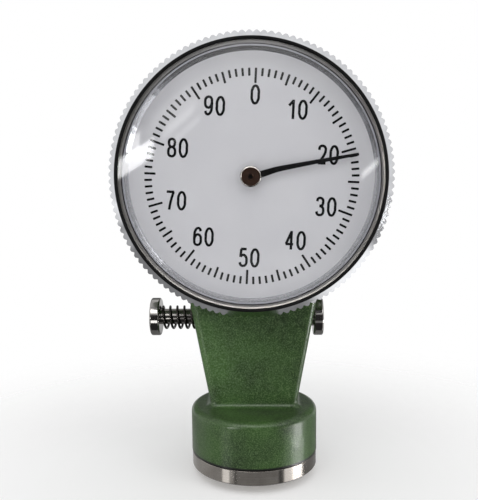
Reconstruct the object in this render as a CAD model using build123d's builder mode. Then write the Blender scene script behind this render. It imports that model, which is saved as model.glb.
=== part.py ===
from build123d import *
import math
import os

# Hand-held hardness tester for sand moulds, in millimetres.
# Z is up, the dial faces -Y and the origin is the middle of the seating face under the base ring.

# Clearances
running_clearance = 0.05
pivot_clearance = 0.03
press_clearance = 0.02
thread_clearance = 0.03
edge_tolerance = 0.01

# Foot and base ring
foot_radius = 14.8
foot_top = 14.3
foot_edge = 1.5
foot_roof = 1.1
base_ring_step_width = 0.1
base_ring_height = 3.6
base_ring_chamfer = 0.3
foot_wall_thickness = 4.3
spigot_length = 4.0
spigot_room = 0.4

# Plunger
stroke = 2.54
shown_press = 0.533
ball_radius = 12.7
seating_width = 7.2
head_guide_length = 2.4
flange_width = 1.15
flange_thickness = 1.6
flange_room = 0.1
head_floor = 3.2
recess_room = 0.5
spindle_radius = 1.5
stub_radius = 1.2
stub_length = 2.2
spindle_crown = 1.0

# Measuring spring and its adjuster
main_wire = 0.7
main_coil_radius = 2.55
main_turns = 5.5
main_wire_sides = 6
adjuster_radius = 5.0
adjuster_height = 3.0
adjuster_pin_radius = 0.6
adjuster_room = 0.4
seat_clearance = 0.02

# Neck
neck_ledge_width = 4.83
neck_flare = 10.57
neck_front = 4.2
neck_back_gap = 0.05
neck_edge = 1.6
neck_foot_fillet = 1.3
neck_case_fillet = 1.0
guide_bush_radius = 2.4
guide_bush_length = 6.0

# Case
dial_height = 67.8
case_shoulder_width = 1.0
case_wall = 4.7
case_edge = 0.8
lug_depth = 3.0
lug_count = 3
lug_root = 1.0
cover_margin_width = 0.9
cover_thickness = 1.5
cover_edge = 0.3
cover_screw_count = 4
cover_screw_inset_width = 3.0
cover_screw_start = 45
cover_screw_length = 5.0

# Stack along the dial axis
rear_gap = 4.5
front_gap = 6.5
plate_thickness = 1.0
dial_gap = 3.4
dial_thickness = 0.6
dial_clearance = 0.3
sight_height = 3.5
lip_height = 1.3
bezel_skirt = 1.9
bezel_clearance = 0.2

# Bezel, dial and crystal
bezel_radius = 30.0
bezel_overhang_width = 1.8
bezel_lip_width = 1.58
bezel_face_width = 3.8
bezel_chamfer = 1.5
bezel_play = 0.08
knurl_count = 122
knurl_depth = 0.6
knurl_share = 0.74
sight_flare = 1.38
dial_overlap = 0.65
dial_hole_radius = 1.5
crystal_edge = 1.0
crystal_rise = 2.6
crystal_thickness = 1.4
gasket_width = 0.42
gasket_rise = 0.1
gasket_round = 0.15
clip_wire = 0.7
clip_bite = 0.2
clip_room = 0.1
clip_opening = 40

# Gear train
rack_pitch_offset = 1.0
rack_gaps_below = 4
rack_gaps_above = 2
rack_pinion_teeth = 12
rack_pinion_width = 2.6
movement_ratio = 117.5
wheel_teeth = 95
wheel_thickness = 0.8
wheel_gap = 0.9
centre_teeth = 16
centre_pinion_overhang = 0.2
take_up_teeth = 64
take_up_pitches = 7
addendum = 0.8
dedendum = 1.1
tooth_fill = 0.8
pressure_angle = 20
arbor_radius = 0.8
centre_arbor_radius = 0.6
pivot_radius = 0.4
end_shake = 0.05
wheel_window_count = 5
wheel_rim_modules = 7
wheel_boss_modules = 9.5
window_margin_modules = 2

# Movement frame
plate_room_width = 6.0
pillar_count = 3
pillar_inset_width = 2.0
pillar_start = 60
pillar_radius = 1.25
ear_inset_width = 2.5
ear_width = 5.0
ear_end_length = 1.8
pin_radius = 0.6
pin_slot_room = 0.3
small_screw_radius = 0.6
small_screw_length = 3.0
screw_radius = 0.8
screw_head_ratio = 2
screw_head_height = 1.0
screw_slot_width = 0.4
screw_slot_depth = 0.4
hole_room = 0.05

# Hairspring
hairspring_inner = 1.35
hairspring_pitch = 0.65
hairspring_turns = 4
hairspring_thickness = 0.12
hairspring_width = 0.6
hairspring_gap = 0.6
collet_gap = 0.15
stud_radius = 0.4

# Needle
pointer_margin_width = 3.1
pointer_angle = 11.0
pointer_root_width = 1.2
pointer_tip_width = 0.42
pointer_thickness = 0.3
pointer_height = 1.2
pointer_ring_radius = 1.6
hub_radius = 2.25
hub_thickness = 0.9
hub_edge = 0.35
hub_recess = 0.1
hub_sleeve_radius = 1.0
hub_sleeve_length = 0.7

# Cross rod
lock_bush_gap = 1.95
lock_offset = 3.0
lock_travel = 3.0
lock_rod_radius = 1.85
lock_head_radius = 4.5
lock_head_thickness = 2.3
lock_head_edge = 0.4
lock_spring_length = 8.65
lock_bush_radius = 2.5
lock_bush_length = 5.0
lock_flange_radius = 3.0
lock_flange_thickness = 0.9
lock_spot_room = 0.2
lock_flange_sink = 0.24
lock_collar_radius = 2.3
lock_collar_length = 0.7
lock_cap_room = 0.3
lock_cap_gap = 0.15
lock_stub_radius = 1.2
lock_stub_length = 2.4
lock_free_gap = 0.25
lock_hold_gap = 0.03
lock_wire = 0.55
lock_coil_radius = 2.45
lock_turns = 5
round_wire_sides = 8

# Radii worked out from the foot and the bezel inwards
base_ring_radius = foot_radius - base_ring_step_width
spigot_radius = foot_radius - foot_wall_thickness
head_radius = base_ring_radius - seating_width
neck_base_width = 2 * (foot_radius - neck_ledge_width)
case_radius = bezel_radius - bezel_overhang_width
rim_radius = case_radius - case_shoulder_width
cavity_radius = case_radius - case_wall
cover_radius = case_radius - cover_margin_width
cover_screw_radius = case_radius - cover_screw_inset_width
pocket_radius = bezel_radius - bezel_lip_width
gasket_outer = pocket_radius - press_clearance
gasket_inner = gasket_outer - gasket_width
crystal_radius = gasket_inner - press_clearance
sight_radius = bezel_radius - bezel_face_width
ledge_radius = sight_radius + sight_flare
dial_radius = sight_radius + dial_overlap
pointer_length = sight_radius - pointer_margin_width
plate_radius = cavity_radius - plate_room_width
pillar_place_radius = plate_radius - pillar_inset_width
ear_place_radius = cavity_radius - ear_inset_width
wheel_module = cavity_radius / movement_ratio
rack_module = 2 * wheel_module

# Places worked out along Z
foot_ceiling = foot_top - foot_roof
tip_z = shown_press - stroke
head_shoulder_z = tip_z + ball_radius - math.sqrt(ball_radius**2 - head_radius**2)
flange_radius = head_radius + flange_width
flange_z = head_guide_length + seat_clearance + shown_press
flange_top_z = flange_z + flange_thickness
recess_z = tip_z + head_floor
recess_radius = main_coil_radius + main_wire / 2 + recess_room
adjuster_z = foot_ceiling - adjuster_height
cavity_floor_z = dial_height - cavity_radius
upper_bush_z = cavity_floor_z - guide_bush_length
lock_height = upper_bush_z - lock_bush_gap - lock_rod_radius

# Places worked out along Y, the dial axis
lug_y = rear_gap + plate_thickness
case_back_y = lug_y + lug_depth
neck_back_y = case_back_y - case_edge - neck_case_fillet - neck_back_gap
front_plate_y = -front_gap
front_plate_face_y = front_plate_y - plate_thickness
dial_back_y = front_plate_face_y - dial_gap
dial_face_y = dial_back_y - dial_thickness
crystal_seat_y = dial_face_y - sight_height
bezel_front_y = crystal_seat_y - lip_height
bezel_back_y = dial_back_y + bezel_skirt
case_rim_y = dial_back_y + dial_clearance
case_shoulder_y = bezel_back_y + bezel_clearance
clip_y = (bezel_back_y + case_rim_y) / 2
wheel_face_y = front_plate_y + wheel_gap
wheel_back_y = wheel_face_y + wheel_thickness
pointer_back_y = dial_face_y - pointer_height
pointer_face_y = pointer_back_y - pointer_thickness
hub_face_y = pointer_face_y - hub_thickness
hairspring_y = wheel_back_y + hairspring_gap

# Gear centres, as seen from the front, from the dial axis
rack_pinion_pitch = rack_module * rack_pinion_teeth / 2
wheel_centres = wheel_module * (wheel_teeth + centre_teeth) / 2
take_up_centres = wheel_module * (take_up_teeth + centre_teeth) / 2
rack_arbor_x = -(rack_pitch_offset + rack_pinion_pitch)
rack_arbor_drop = -math.sqrt(wheel_centres**2 - rack_arbor_x**2)
rack_arbor_place = (rack_arbor_x, rack_arbor_drop)
rack_arbor_z = dial_height + rack_arbor_drop
rack_arbor_angle = math.degrees(math.atan2(rack_arbor_drop, rack_arbor_x))
take_up_angle = rack_arbor_angle - take_up_pitches * 360 / centre_teeth

dial_axis = Axis((0, 0, dial_height), (0, 1, 0))
half_section = Plane.XY.offset(dial_height)
cross_plane = Plane(origin=(0, lock_offset, lock_height), x_dir=(0, 1, 0), z_dir=(1, 0, 0))

os.makedirs("parts", exist_ok=True)


def dial_plane(y):
    """Plane across the dial axis at depth y, seen from the front; extruding goes towards the front."""
    return Plane(origin=(0, y, dial_height), x_dir=(1, 0, 0), z_dir=(0, -1, 0))


def polar(radius, angle):
    """Point at a radius and an angle in degrees."""
    return (radius * math.cos(math.radians(angle)), radius * math.sin(math.radians(angle)))


take_up_place = polar(take_up_centres, take_up_angle)
arbor_places = ((0, 0), rack_arbor_place, take_up_place)


def keep(piece, name):
    """Label a finished piece and write it as its own file."""
    piece.part.label = name
    export_step(piece.part, f"parts/{name}.step")


def gear_outline(teeth, module, tooth_angle):
    """Corners of a straight-flanked gear with one tooth centred on tooth_angle."""
    pitch_radius = module * teeth / 2
    slope = math.tan(math.radians(pressure_angle))
    half_tooth = tooth_fill * math.pi * module / 4
    root = (pitch_radius - dedendum * module, half_tooth + dedendum * module * slope)
    tip = (pitch_radius + addendum * module, half_tooth - addendum * module * slope)
    corners = []
    for tooth in range(teeth):
        along = Vector(1, 0).rotate(Axis.Z, tooth_angle + 360 * tooth / teeth)
        across = along.rotate(Axis.Z, 90)
        for (radius, half_width), side in ((root, -1), (tip, -1), (tip, 1), (root, 1)):
            corners.append(along * radius + across * half_width * side)
    return corners


def coil_stations(place, radius, rise, turns):
    """Points and directions at each quarter turn of a coil about a plane's Z, easing flat at both ends."""
    pitch = rise / (turns - 0.25)
    last = round(4 * turns)
    stations = []
    for quarter in range(last + 1):
        height = pitch * (quarter / 4 - 0.125)
        climb = pitch / (2 * math.pi * radius)
        if quarter == 0:
            height, climb = 0, 0
        if quarter == last:
            height, climb = rise, 0
        x, y = polar(radius, 90 * quarter)
        point = place.from_local_coords(Vector(x, y, height))
        ahead = place.from_local_coords(Vector(x - y / radius, y + x / radius, height + climb))
        stations.append((point, (ahead - point).normalized()))
    return stations


def draw_coil(stations, wire):
    """Draw a coil as pairs of tangent arcs, with a straight end one wire wide at each seat."""
    first, first_way = stations[0]
    Line(first - first_way * wire, first)
    for (start, way), (end, end_way) in zip(stations, stations[1:]):
        chord = end - start
        bend = 1 - way.dot(end_way)
        reach = chord.dot(way + end_way)
        handle = (math.sqrt(reach**2 + 2 * bend * chord.dot(chord)) - reach) / (2 * bend)
        leave = start + way * handle
        arrive = end - end_way * handle
        middle = (leave + arrive) * 0.5
        TangentArc(start, middle, tangent=way)
        TangentArc(middle, end, tangent=arrive - leave)
    last, last_way = stations[-1]
    Line(last, last + last_way * wire)


def least_coil_gap(path, wire, turns):
    """Least gap between one turn of a coil and the next, measured on points of its middle line."""
    count = round(48 * turns)
    points = [path.position_at(k / count) for k in range(count + 1)]
    apart = round(count / turns / 2)
    nearest = min((a - b).length for k, a in enumerate(points) for b in points[k + apart:])
    return nearest - wire


# Housing: round case, flared neck and foot in one casting
def neck_half_width(z):
    """Half width of the flared neck at a height."""
    return neck_base_width / 2 + (z - foot_top) * math.tan(math.radians(neck_flare))


neck_top_z = cavity_floor_z + case_wall / 2
neck_root_z = base_ring_height
foot_top_band = (foot_top - edge_tolerance, foot_top + edge_tolerance)
lock_flange_x = neck_half_width(lock_height) - lock_flange_sink
lock_seat_x = lock_flange_x - lock_flange_thickness
lock_shoulder_x = lock_flange_x + seat_clearance
lock_cap_x = lock_shoulder_x + lock_collar_length
lock_head_x = -lock_flange_x - lock_spring_length

with BuildPart() as housing:
    with BuildSketch(Plane.XZ.offset(-neck_back_y)):
        with BuildLine():
            Polyline(
                (-neck_half_width(neck_root_z), neck_root_z),
                (neck_half_width(neck_root_z), neck_root_z),
                (neck_half_width(neck_top_z), neck_top_z),
                (-neck_half_width(neck_top_z), neck_top_z),
                close=True,
            )
        make_face()
    extrude(amount=neck_back_y + neck_front)
    fillet(housing.edges().filter_by(lambda edge: abs(edge.tangent_at(0.5).Z) > 0.5), neck_edge)
    with BuildSketch(Plane.XY.offset(base_ring_height)):
        Circle(foot_radius)
    extrude(amount=foot_top - base_ring_height)
    foot_edges = housing.edges().filter_by_position(Axis.Z, *foot_top_band)
    fillet(foot_edges.sort_by(SortBy.LENGTH)[-1], foot_edge)
    neck_edges = housing.edges().filter_by_position(Axis.Z, *foot_top_band)
    fillet(neck_edges.sort_by(SortBy.LENGTH)[:-1], neck_foot_fillet)
    with BuildSketch(half_section):
        with BuildLine():
            Polyline(
                (0, case_back_y),
                (case_radius, case_back_y),
                (case_radius, case_shoulder_y),
                (rim_radius, case_shoulder_y),
                (rim_radius, case_rim_y),
                (0, case_rim_y),
                close=True,
            )
        make_face()
    revolve(axis=dial_axis)
    case_edges = housing.edges().filter_by(
        lambda edge: -neck_front - edge_tolerance < (edge @ 0.5).Y < neck_back_y + edge_tolerance
        and abs(Vector((edge @ 0.5).X, (edge @ 0.5).Z - dial_height).length - case_radius) < edge_tolerance
    )
    fillet(case_edges, neck_case_fillet)
    back_edge = housing.edges().filter_by(GeomType.CIRCLE).sort_by(Axis.Y)[-1]
    fillet(back_edge, case_edge)
    with BuildSketch(dial_plane(case_back_y)):
        Circle(cavity_radius)
    extrude(amount=case_back_y - case_rim_y, mode=Mode.SUBTRACT)
    # Lugs that carry the movement
    with BuildSketch(dial_plane(case_back_y)):
        with PolarLocations(ear_place_radius - ear_end_length, lug_count):
            Rectangle(
                cavity_radius + lug_root - ear_place_radius + ear_end_length,
                ear_width,
                align=(Align.MIN, Align.CENTER),
            )
    extrude(amount=lug_depth)
    with BuildSketch(dial_plane(case_back_y)):
        with PolarLocations(ear_place_radius, lug_count):
            Circle(screw_radius + hole_room)
    extrude(amount=lug_depth, mode=Mode.SUBTRACT)
    with BuildSketch(dial_plane(case_back_y)):
        with PolarLocations(cover_screw_radius, cover_screw_count, cover_screw_start):
            Circle(screw_radius + hole_room)
    extrude(amount=cover_screw_length, mode=Mode.SUBTRACT)
    # Groove for the bezel's retaining wire
    with BuildSketch(half_section):
        with Locations((rim_radius + clip_bite - clip_wire - clip_room, clip_y)):
            Rectangle(clip_wire, clip_wire + 2 * clip_room, align=(Align.MIN, Align.CENTER))
    revolve(axis=dial_axis, mode=Mode.SUBTRACT)
    # Bores for the base ring, the adjuster, the spindle bushes and the cross rod
    with BuildSketch(Plane.XY.offset(base_ring_height)):
        Circle(spigot_radius + thread_clearance)
    extrude(amount=spigot_length + spigot_room, mode=Mode.SUBTRACT)
    with BuildSketch(Plane.XY.offset(base_ring_height)):
        Circle(adjuster_radius + thread_clearance)
    extrude(amount=foot_ceiling - base_ring_height, mode=Mode.SUBTRACT)
    with BuildSketch(Plane.XY.offset(foot_ceiling)):
        Circle(guide_bush_radius + press_clearance)
    extrude(amount=dial_height - foot_ceiling, mode=Mode.SUBTRACT)
    with BuildSketch(cross_plane):
        Circle(lock_rod_radius + 2 * running_clearance)
    extrude(amount=case_radius, both=True, mode=Mode.SUBTRACT)
    for side in (1, -1):
        with BuildSketch(cross_plane.offset(side * (lock_seat_x - lock_bush_length))):
            Circle(lock_bush_radius + press_clearance)
        extrude(amount=side * case_radius, mode=Mode.SUBTRACT)
        with BuildSketch(cross_plane.offset(side * lock_seat_x)):
            Circle(lock_flange_radius + lock_spot_room)
        extrude(amount=side * case_radius, mode=Mode.SUBTRACT)
    with BuildSketch(cross_plane.offset(lock_cap_x - lock_cap_gap)):
        Circle(lock_head_radius + lock_cap_room)
    extrude(amount=case_radius, mode=Mode.SUBTRACT)
keep(housing, "housing")

# Base ring, screwed into the foot by its spigot
with BuildPart() as base_ring:
    with BuildSketch(Plane.XZ):
        with BuildLine():
            Polyline(
                (head_radius + running_clearance, 0),
                (base_ring_radius, 0),
                (base_ring_radius, base_ring_height),
                (spigot_radius, base_ring_height),
                (spigot_radius, base_ring_height + spigot_length),
                (flange_radius + flange_room, base_ring_height + spigot_length),
                (flange_radius + flange_room, head_guide_length),
                (head_radius + running_clearance, head_guide_length),
                close=True,
            )
        make_face()
    revolve(axis=Axis.Z)
    circles = base_ring.edges().filter_by(GeomType.CIRCLE)
    rims = circles.filter_by(lambda edge: abs(edge.radius - base_ring_radius) < edge_tolerance)
    chamfer(rims, base_ring_chamfer)
keep(base_ring, "base_ring")

# Ball-ended plunger head
with BuildPart() as plunger_head:
    with BuildSketch(Plane.XZ):
        with BuildLine():
            TangentArc((0, tip_z), (head_radius, head_shoulder_z), tangent=(1, 0))
            Polyline(
                (head_radius, head_shoulder_z),
                (head_radius, flange_z),
                (flange_radius, flange_z),
                (flange_radius, flange_top_z),
                (recess_radius, flange_top_z),
                (recess_radius, recess_z),
                (stub_radius + thread_clearance, recess_z),
                (stub_radius + thread_clearance, recess_z - stub_length - thread_clearance),
                (0, recess_z - stub_length - thread_clearance),
                (0, tip_z),
            )
        make_face()
    revolve(axis=Axis.Z)
keep(plunger_head, "plunger_head")

# Spindle with the rack on its left side
rack_pitch = math.pi * rack_module
rack_slope = math.tan(math.radians(pressure_angle))
rack_tip_x = -rack_pitch_offset - addendum * rack_module
rack_root_x = -rack_pitch_offset + dedendum * rack_module
rack_half_gap = rack_pitch / 2 - tooth_fill * rack_pitch / 4
rack_tip_half = rack_half_gap + addendum * rack_module * rack_slope
rack_root_half = rack_half_gap - dedendum * rack_module * rack_slope
rack_bottom_z = rack_arbor_z - (rack_gaps_below + 0.5) * rack_pitch
rack_top_z = rack_arbor_z + (rack_gaps_above + 0.5) * rack_pitch
guide_pin_z = rack_top_z + spindle_crown + pin_radius
spindle_top_z = guide_pin_z + pin_radius + spindle_crown
pin_plane = Plane(origin=(0, -spindle_radius, guide_pin_z), x_dir=(1, 0, 0), z_dir=(0, 1, 0))

with BuildPart() as spindle:
    with BuildSketch(Plane.XY.offset(recess_z)):
        Circle(spindle_radius)
    extrude(amount=spindle_top_z - recess_z)
    with BuildSketch(Plane.XY.offset(recess_z)):
        Circle(stub_radius)
    extrude(amount=-stub_length)
    with BuildSketch(Plane.XZ):
        with BuildLine():
            Polyline(
                (rack_tip_x, rack_bottom_z),
                (rack_tip_x, rack_top_z),
                (-2 * spindle_radius, rack_top_z),
                (-2 * spindle_radius, rack_bottom_z),
                close=True,
            )
        make_face()
        for gap in range(-rack_gaps_below, rack_gaps_above + 1):
            gap_z = rack_arbor_z + gap * rack_pitch
            with BuildLine():
                Polyline(
                    (rack_root_x, gap_z - rack_root_half),
                    (rack_root_x, gap_z + rack_root_half),
                    (rack_tip_x, gap_z + rack_tip_half),
                    (rack_tip_x, gap_z - rack_tip_half),
                    close=True,
                )
            make_face()
    extrude(amount=spindle_radius, both=True, mode=Mode.SUBTRACT)
    with BuildSketch(pin_plane):
        Circle(pin_radius + press_clearance)
    extrude(amount=2 * spindle_radius, mode=Mode.SUBTRACT)
keep(spindle, "spindle")

# Cross pin that runs in the slot of the rear plate
with BuildPart() as guide_pin:
    with BuildSketch(pin_plane):
        Circle(pin_radius)
    extrude(amount=spindle_radius + lug_y)
keep(guide_pin, "guide_pin")

# Measuring spring between the plunger head and the adjuster
main_plane = Plane.XY.offset(recess_z + seat_clearance + main_wire / 2)
main_rise = adjuster_z - recess_z - 2 * seat_clearance - main_wire
with BuildPart() as main_spring:
    with BuildLine() as main_path:
        draw_coil(coil_stations(main_plane, main_coil_radius, main_rise, main_turns), main_wire)
    with BuildSketch(Plane(origin=main_path.line @ 0, z_dir=main_path.line % 0)):
        RegularPolygon(main_wire / 2, main_wire_sides)
    sweep()
print("main spring least gap", round(least_coil_gap(main_path.wire(), main_wire, main_turns), 3))
keep(main_spring, "main_spring")

# Threaded collar that sets the spring's load, with two pin holes for its key
with BuildPart() as spring_adjuster:
    with BuildSketch(Plane.XY.offset(adjuster_z)):
        Circle(adjuster_radius)
        Circle(spindle_radius + adjuster_room, mode=Mode.SUBTRACT)
    extrude(amount=adjuster_height)
    with BuildSketch(Plane.XY.offset(adjuster_z)):
        with PolarLocations((adjuster_radius + main_coil_radius + main_wire / 2) / 2, 2):
            Circle(adjuster_pin_radius)
    extrude(amount=adjuster_height / 2, mode=Mode.SUBTRACT)
keep(spring_adjuster, "spring_adjuster")

# Bushes that guide the spindle at both ends of the neck
for bush_name, bush_z in (
    ("lower_guide_bush", foot_ceiling),
    ("upper_guide_bush", upper_bush_z),
):
    with BuildPart() as guide_bush:
        with BuildSketch(Plane.XY.offset(bush_z)):
            Circle(guide_bush_radius)
            Circle(spindle_radius + running_clearance, mode=Mode.SUBTRACT)
        extrude(amount=guide_bush_length)
    keep(guide_bush, bush_name)

# Flanged bushes for the cross rod, one in each side of the neck
with BuildPart() as lock_bushes:
    for side in (1, -1):
        with BuildSketch(cross_plane.offset(side * lock_seat_x)):
            Circle(lock_flange_radius)
            Circle(lock_rod_radius + running_clearance, mode=Mode.SUBTRACT)
        extrude(amount=side * lock_flange_thickness)
        with BuildSketch(cross_plane.offset(side * lock_seat_x)):
            Circle(lock_bush_radius)
            Circle(lock_rod_radius + running_clearance, mode=Mode.SUBTRACT)
        extrude(amount=-side * lock_bush_length)
keep(lock_bushes, "lock_bushes")

# Cross rod with its push-button head and the stepped flat that pinches the spindle
hold_y = spindle_radius + lock_hold_gap
free_y = spindle_radius + lock_free_gap
rod_front_y = lock_offset - 2 * lock_rod_radius
with BuildPart() as lock_rod:
    with BuildSketch(cross_plane.offset(lock_head_x)):
        Circle(lock_head_radius)
    extrude(amount=-lock_head_thickness)
    fillet(lock_rod.edges(), lock_head_edge)
    with BuildSketch(cross_plane.offset(lock_head_x)):
        Circle(lock_rod_radius)
    extrude(amount=lock_shoulder_x - lock_head_x)
    with BuildSketch(cross_plane.offset(lock_shoulder_x)):
        Circle(lock_stub_radius)
    extrude(amount=lock_stub_length)
    with BuildSketch(Plane.XY.offset(lock_height)):
        with BuildLine():
            Polyline(
                (-lock_travel - spindle_radius, rod_front_y),
                (-lock_travel - spindle_radius, hold_y),
                (-lock_travel + spindle_radius / 2, hold_y),
                (-lock_travel + spindle_radius, free_y),
                (spindle_radius + lock_free_gap, free_y),
                (spindle_radius + lock_free_gap, rod_front_y),
                close=True,
            )
        make_face()
    extrude(amount=2 * lock_rod_radius, both=True, mode=Mode.SUBTRACT)
keep(lock_rod, "lock_rod")

# Head screwed on the right end of the rod, which stops it against the bush
with BuildPart() as lock_cap:
    with BuildSketch(cross_plane.offset(lock_cap_x)):
        Circle(lock_head_radius)
    extrude(amount=lock_head_thickness)
    fillet(lock_cap.edges(), lock_head_edge)
    with BuildSketch(cross_plane.offset(lock_shoulder_x)):
        Circle(lock_collar_radius)
    extrude(amount=lock_collar_length)
    with BuildSketch(cross_plane.offset(lock_shoulder_x)):
        Circle(lock_stub_radius + thread_clearance)
    extrude(amount=lock_stub_length + thread_clearance, mode=Mode.SUBTRACT)
keep(lock_cap, "lock_cap")

# Open coil spring on the rod, from the button to the left bush
lock_spring_start = lock_head_x + seat_clearance + lock_wire / 2
lock_rise = -lock_flange_x - lock_head_x - 2 * seat_clearance - lock_wire
with BuildPart() as lock_spring:
    with BuildLine() as lock_path:
        draw_coil(
            coil_stations(cross_plane.offset(lock_spring_start), lock_coil_radius, lock_rise, lock_turns),
            lock_wire,
        )
    with BuildSketch(Plane(origin=lock_path.line @ 0, z_dir=lock_path.line % 0)):
        RegularPolygon(lock_wire / 2, round_wire_sides)
    sweep()
print("lock spring least gap", round(least_coil_gap(lock_path.wire(), lock_wire, lock_turns), 3))
keep(lock_spring, "lock_spring")

# Movement plates: bearings for three arbors, the front one on pillars
with BuildPart() as front_plate:
    with BuildSketch(dial_plane(front_plate_y)):
        Circle(plate_radius)
        Circle(centre_arbor_radius + pivot_clearance, mode=Mode.SUBTRACT)
        with Locations(rack_arbor_place, take_up_place):
            Circle(pivot_radius + pivot_clearance, mode=Mode.SUBTRACT)
        with PolarLocations(pillar_place_radius, pillar_count, pillar_start):
            Circle(small_screw_radius + hole_room, mode=Mode.SUBTRACT)
    extrude(amount=plate_thickness)
keep(front_plate, "front_plate")

pin_drop = guide_pin_z - dial_height
slot_low = pin_drop - shown_press - pin_radius - pin_slot_room
slot_high = pin_drop + stroke - shown_press + pin_radius + pin_slot_room
with BuildPart() as rear_plate:
    with BuildSketch(dial_plane(lug_y)):
        Circle(plate_radius)
        with PolarLocations(0, lug_count):
            Rectangle(ear_place_radius + ear_end_length, ear_width, align=(Align.MIN, Align.CENTER))
        with Locations(*arbor_places):
            Circle(pivot_radius + pivot_clearance, mode=Mode.SUBTRACT)
        with PolarLocations(pillar_place_radius, pillar_count, pillar_start):
            Circle(small_screw_radius + hole_room, mode=Mode.SUBTRACT)
        with PolarLocations(ear_place_radius, lug_count):
            Circle(screw_radius + hole_room, mode=Mode.SUBTRACT)
        with Locations((0, (slot_low + slot_high) / 2)):
            Rectangle(2 * (pin_radius + running_clearance), slot_high - slot_low, mode=Mode.SUBTRACT)
    extrude(amount=plate_thickness)
keep(rear_plate, "rear_plate")

with BuildPart() as plate_pillars:
    with BuildSketch(dial_plane(rear_gap)):
        with PolarLocations(pillar_place_radius, pillar_count, pillar_start):
            Circle(pillar_radius)
            Circle(small_screw_radius + hole_room, mode=Mode.SUBTRACT)
    extrude(amount=rear_gap + front_gap)
keep(plate_pillars, "plate_pillars")


def turned(place, radius, back_y, front_y):
    """Add a plain round length between two depths, at a place seen from the front."""
    with BuildSketch(dial_plane(back_y)) as disc:
        with Locations(place):
            Circle(radius)
    extrude(disc.sketch, amount=back_y - front_y)


def ring_planes(y, radius, count, start, facing):
    """Planes on a circle about the dial axis, facing the back (1) or the front (-1)."""
    places = [polar(radius, start + 360 * k / count) for k in range(count)]
    return [Plane((x, y, dial_height + z), x_dir=(1, 0, 0), z_dir=(0, facing, 0)) for x, z in places]


def slotted_screws(places, radius, length):
    """Add a cheese-head screw at each plane, its head on the plane's +Z side."""
    with Locations(*places):
        Cylinder(radius, length, align=(Align.CENTER, Align.CENTER, Align.MAX))
        Cylinder(screw_head_ratio * radius, screw_head_height, align=(Align.CENTER, Align.CENTER, Align.MIN))
    with Locations(*[place.offset(screw_head_height) for place in places]):
        Box(3 * screw_head_ratio * radius, screw_slot_width, 2 * screw_slot_depth, mode=Mode.SUBTRACT)


def toothed_wheel(place, teeth, tooth_angle):
    """Add a thin toothed wheel with round windows, bored for its arbor."""
    boss_radius = wheel_module * wheel_boss_modules
    window_outer = wheel_module * (teeth / 2 - dedendum - wheel_rim_modules)
    window_radius = (window_outer - boss_radius) / 2
    window_margin = wheel_module * window_margin_modules
    with BuildSketch(dial_plane(wheel_back_y)) as blank:
        with Locations(place):
            Polygon(*gear_outline(teeth, wheel_module, tooth_angle), align=None)
            Circle(arbor_radius + press_clearance, mode=Mode.SUBTRACT)
            with PolarLocations(boss_radius + window_radius, wheel_window_count):
                Circle(window_radius - window_margin, mode=Mode.SUBTRACT)
    extrude(blank.sketch, amount=wheel_thickness)


# Screws of the movement
with BuildPart() as pillar_screws:
    front_places = ring_planes(front_plate_face_y, pillar_place_radius, pillar_count, pillar_start, -1)
    rear_places = ring_planes(lug_y, pillar_place_radius, pillar_count, pillar_start, 1)
    slotted_screws(front_places + rear_places, small_screw_radius, small_screw_length)
keep(pillar_screws, "pillar_screws")

with BuildPart() as movement_screws:
    ear_places = ring_planes(rear_gap, ear_place_radius, lug_count, 0, -1)
    slotted_screws(ear_places, screw_radius, plate_thickness + lug_depth - seat_clearance)
keep(movement_screws, "movement_screws")

# Arbor with the rack pinion, one tooth in the rack, and the wheel that it carries
with BuildPart() as rack_arbor:
    with BuildSketch(dial_plane(rack_pinion_width / 2)):
        with Locations(rack_arbor_place):
            Polygon(*gear_outline(rack_pinion_teeth, rack_module, 0), align=None)
    extrude(amount=rack_pinion_width)
    turned(rack_arbor_place, arbor_radius, rear_gap - end_shake, front_plate_y + end_shake)
    turned(rack_arbor_place, pivot_radius, lug_y, front_plate_face_y)
keep(rack_arbor, "rack_arbor")

with BuildPart() as intermediate_wheel:
    toothed_wheel(rack_arbor_place, wheel_teeth, rack_arbor_angle + 180)
keep(intermediate_wheel, "intermediate_wheel")

# Centre arbor: its pinion has a gap towards both wheels, and its front end carries the needle
with BuildPart() as centre_arbor:
    with BuildSketch(dial_plane(wheel_back_y + centre_pinion_overhang)):
        Polygon(*gear_outline(centre_teeth, wheel_module, rack_arbor_angle + 180 / centre_teeth), align=None)
    extrude(amount=wheel_thickness + 2 * centre_pinion_overhang)
    turned((0, 0), centre_arbor_radius, rear_gap - end_shake, hub_face_y + hub_recess)
    turned((0, 0), pivot_radius, lug_y, 0)
keep(centre_arbor, "centre_arbor")

# Take-up wheel, its arbor with the hairspring collet, the hairspring and its stud
with BuildPart() as take_up_wheel:
    toothed_wheel(take_up_place, take_up_teeth, take_up_angle + 180)
keep(take_up_wheel, "take_up_wheel")

collet_radius = hairspring_inner - hairspring_thickness / 2 - collet_gap
hairspring_back_y = hairspring_y + hairspring_width
with BuildPart() as take_up_arbor:
    turned(take_up_place, arbor_radius, rear_gap - end_shake, front_plate_y + end_shake)
    turned(take_up_place, pivot_radius, lug_y, front_plate_face_y)
    turned(take_up_place, collet_radius, hairspring_back_y, hairspring_y)
keep(take_up_arbor, "take_up_arbor")

take_up_x, take_up_drop = take_up_place
with BuildPart() as hairspring:
    with BuildSketch(dial_plane(hairspring_back_y)):
        with BuildLine():
            for half_turn in range(2 * hairspring_turns):
                second = half_turn % 2
                CenterArc(
                    (take_up_x + second * hairspring_pitch / 2, take_up_drop),
                    hairspring_inner + half_turn * hairspring_pitch / 2,
                    180 * second,
                    180,
                )
        trace(line_width=hairspring_thickness)
    extrude(amount=hairspring_width)
keep(hairspring, "hairspring")

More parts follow.
